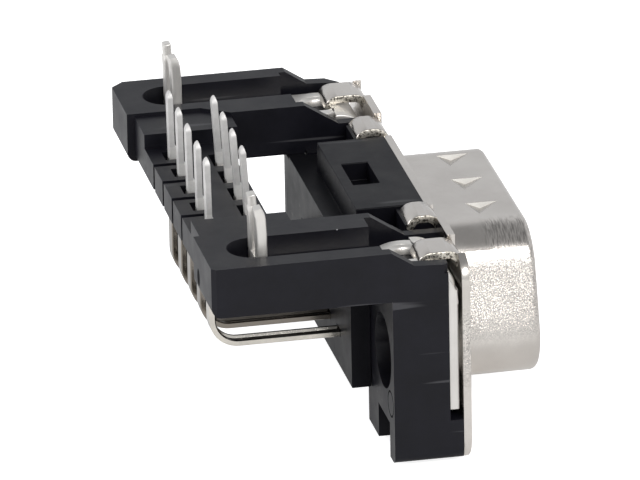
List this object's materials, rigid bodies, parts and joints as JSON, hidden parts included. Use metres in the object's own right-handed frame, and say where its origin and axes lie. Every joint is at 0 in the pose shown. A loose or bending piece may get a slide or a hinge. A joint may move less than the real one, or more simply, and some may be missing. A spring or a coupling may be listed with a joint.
{
  "type": "d-sub connector",
  "caption": "Right-angle board-mount d-sub plug: plated d-shaped shell on a flange, round pins bent to solder tails, black moulded bracket with two forked board locks.",
  "frame": {"origin": "centre of the bounding box at its base, the lower edge of the flange", "axes": "X along the length, near end at -X; -Y is the mating direction; +Z points to the board, as the tails do"},
  "size_m": [0.0308, 0.0206, 0.0163],
  "materials": {
    "plated_shell": "satin",
    "plated_lock": "satin",
    "black_insulator": "matte",
    "black_bracket": "matte",
    "tinned_contact": "satin",
    "brass_insert": "satin"
  },
  "bodies": {
    "root": {"front_shell": "plated_shell", "front_insulator": "black_insulator", "rear_insulator": "black_insulator", "bracket": "black_bracket", "contact_1": "tinned_contact", "contact_2": "tinned_contact", "contact_3": "tinned_contact", "contact_4": "tinned_contact", "contact_5": "tinned_contact", "contact_6": "tinned_contact", "contact_7": "tinned_contact", "contact_8": "tinned_contact", "contact_9": "tinned_contact", "boardlock_far": "plated_lock", "boardlock_near": "plated_lock", "threaded_insert_far": "brass_insert", "threaded_insert_near": "brass_insert"}
  },
  "joints": []
}
